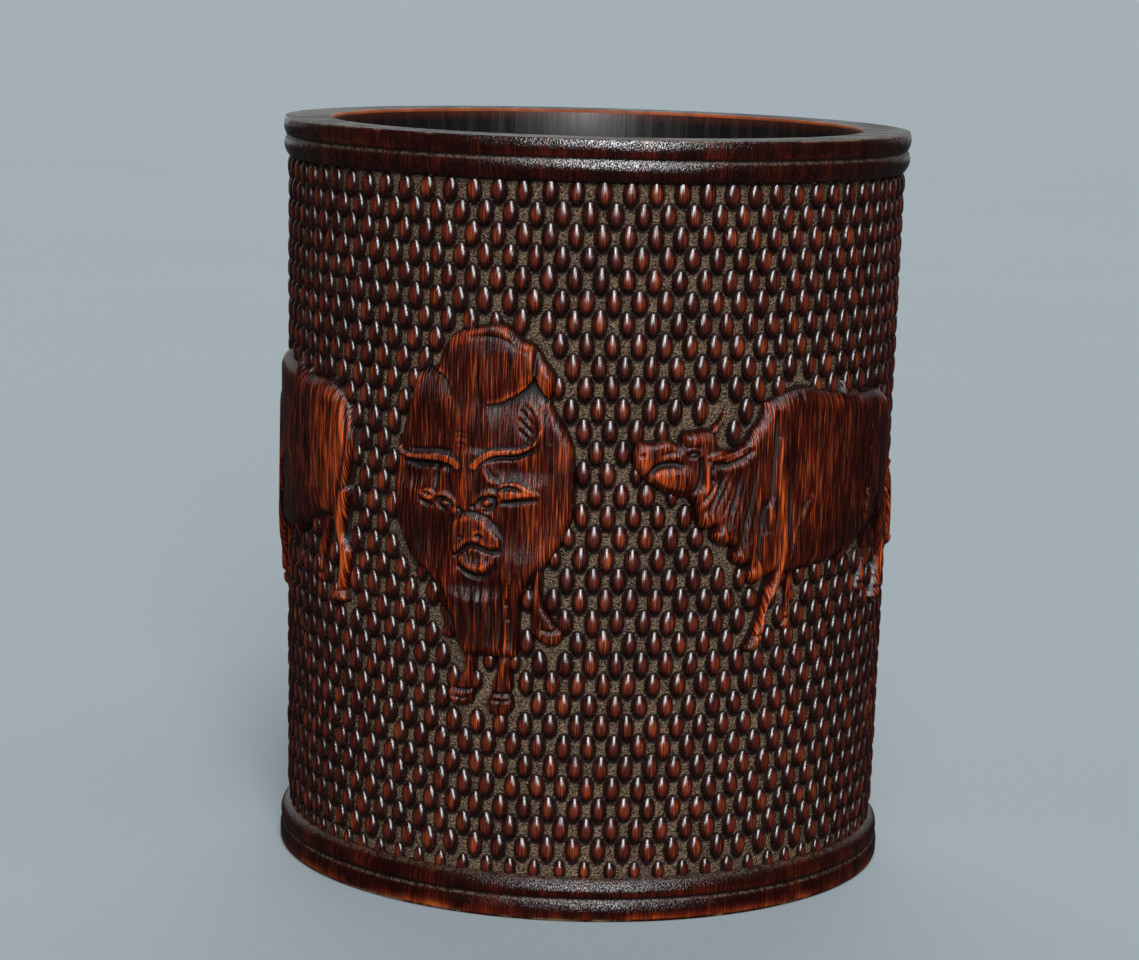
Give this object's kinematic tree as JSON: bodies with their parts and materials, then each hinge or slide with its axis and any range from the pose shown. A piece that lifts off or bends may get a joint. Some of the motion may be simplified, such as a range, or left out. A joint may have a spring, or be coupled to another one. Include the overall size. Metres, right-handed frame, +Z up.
{
  "type": "brush holder pot",
  "caption": "Open-topped bamboo brush pot with beaded lip and foot, a studded carved ground and raised oxen, closed by a pinned base board.",
  "frame": {"origin": "centre of the foot's resting plane", "axes": "+Z up through the mouth, -Y towards the front, which is just to the right of the head-on ox"},
  "size_m": [0.15, 0.15, 0.176],
  "materials": {
    "stained_bamboo": "dark red-brown stain, polished on the raised carving and dull in the stippled ground",
    "base_wood": "dark lacquered hardwood, worn underneath",
    "pin_bamboo": "bare bamboo, sanded flush"
  },
  "bodies": {
    "root": {"bamboo_wall": "stained_bamboo", "base_board": "base_wood", "base_pins": "pin_bamboo"}
  },
  "joints": []
}
